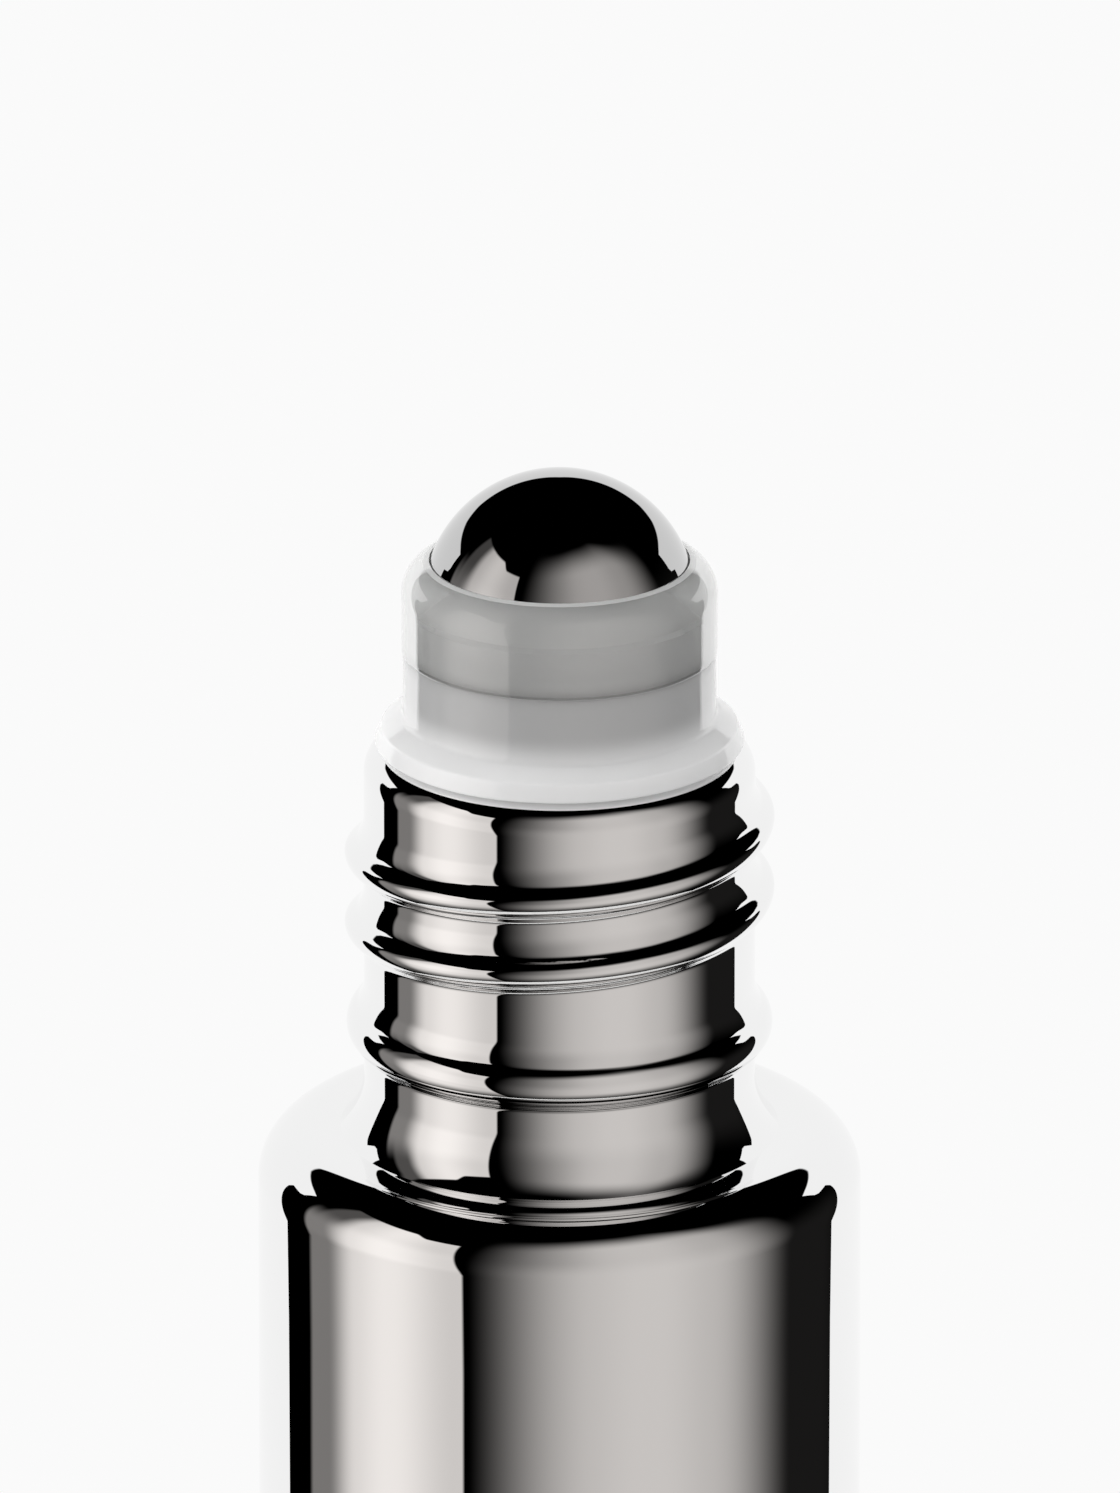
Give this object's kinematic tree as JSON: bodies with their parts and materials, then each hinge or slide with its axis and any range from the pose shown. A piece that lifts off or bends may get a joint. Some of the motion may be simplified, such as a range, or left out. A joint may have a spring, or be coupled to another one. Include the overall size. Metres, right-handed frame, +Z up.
{
  "type": "roll-on perfume oil bottle",
  "caption": "Slim thick-walled glass roll-on bottle with a moulded screw neck, mirrored all over its outside, and a press-in fitment holding a steel ball.",
  "frame": {"origin": "centre of the base, on the surface that the bottle stands on", "axes": "+Z up along the bottle's axis, through the neck and the ball; +X through the side where the thread's first crest lies"},
  "size_m": [0.022, 0.022, 0.0903],
  "materials": {
    "clear_glass": "clear moulded glass, fire polished",
    "dark_mirror": "bright chrome mirror layer over the outside of the glass",
    "natural_plastic": "natural milky translucent plastic",
    "clear_plastic": "hazy translucent moulded plastic",
    "polished_steel": "mirror polished bearing steel"
  },
  "bodies": {
    "bottle": {"glass_bottle": "clear_glass", "mirror_coating": "dark_mirror"},
    "fitment": {"roller_plug": "natural_plastic", "ball_collar": "clear_plastic"},
    "roller": {"roller_ball": "polished_steel"}
  },
  "joints": [
    {"name": "fitment_lift", "type": "slide", "parent": "bottle", "child": "fitment", "axis": [0, 0, 1], "range_m": [0, 0.012]},
    {"name": "ball_roll", "type": "hinge", "parent": "fitment", "child": "roller", "pos_m": [0, 0, 0.08531], "axis": [1, 0, 0], "continuous": true}
  ]
}
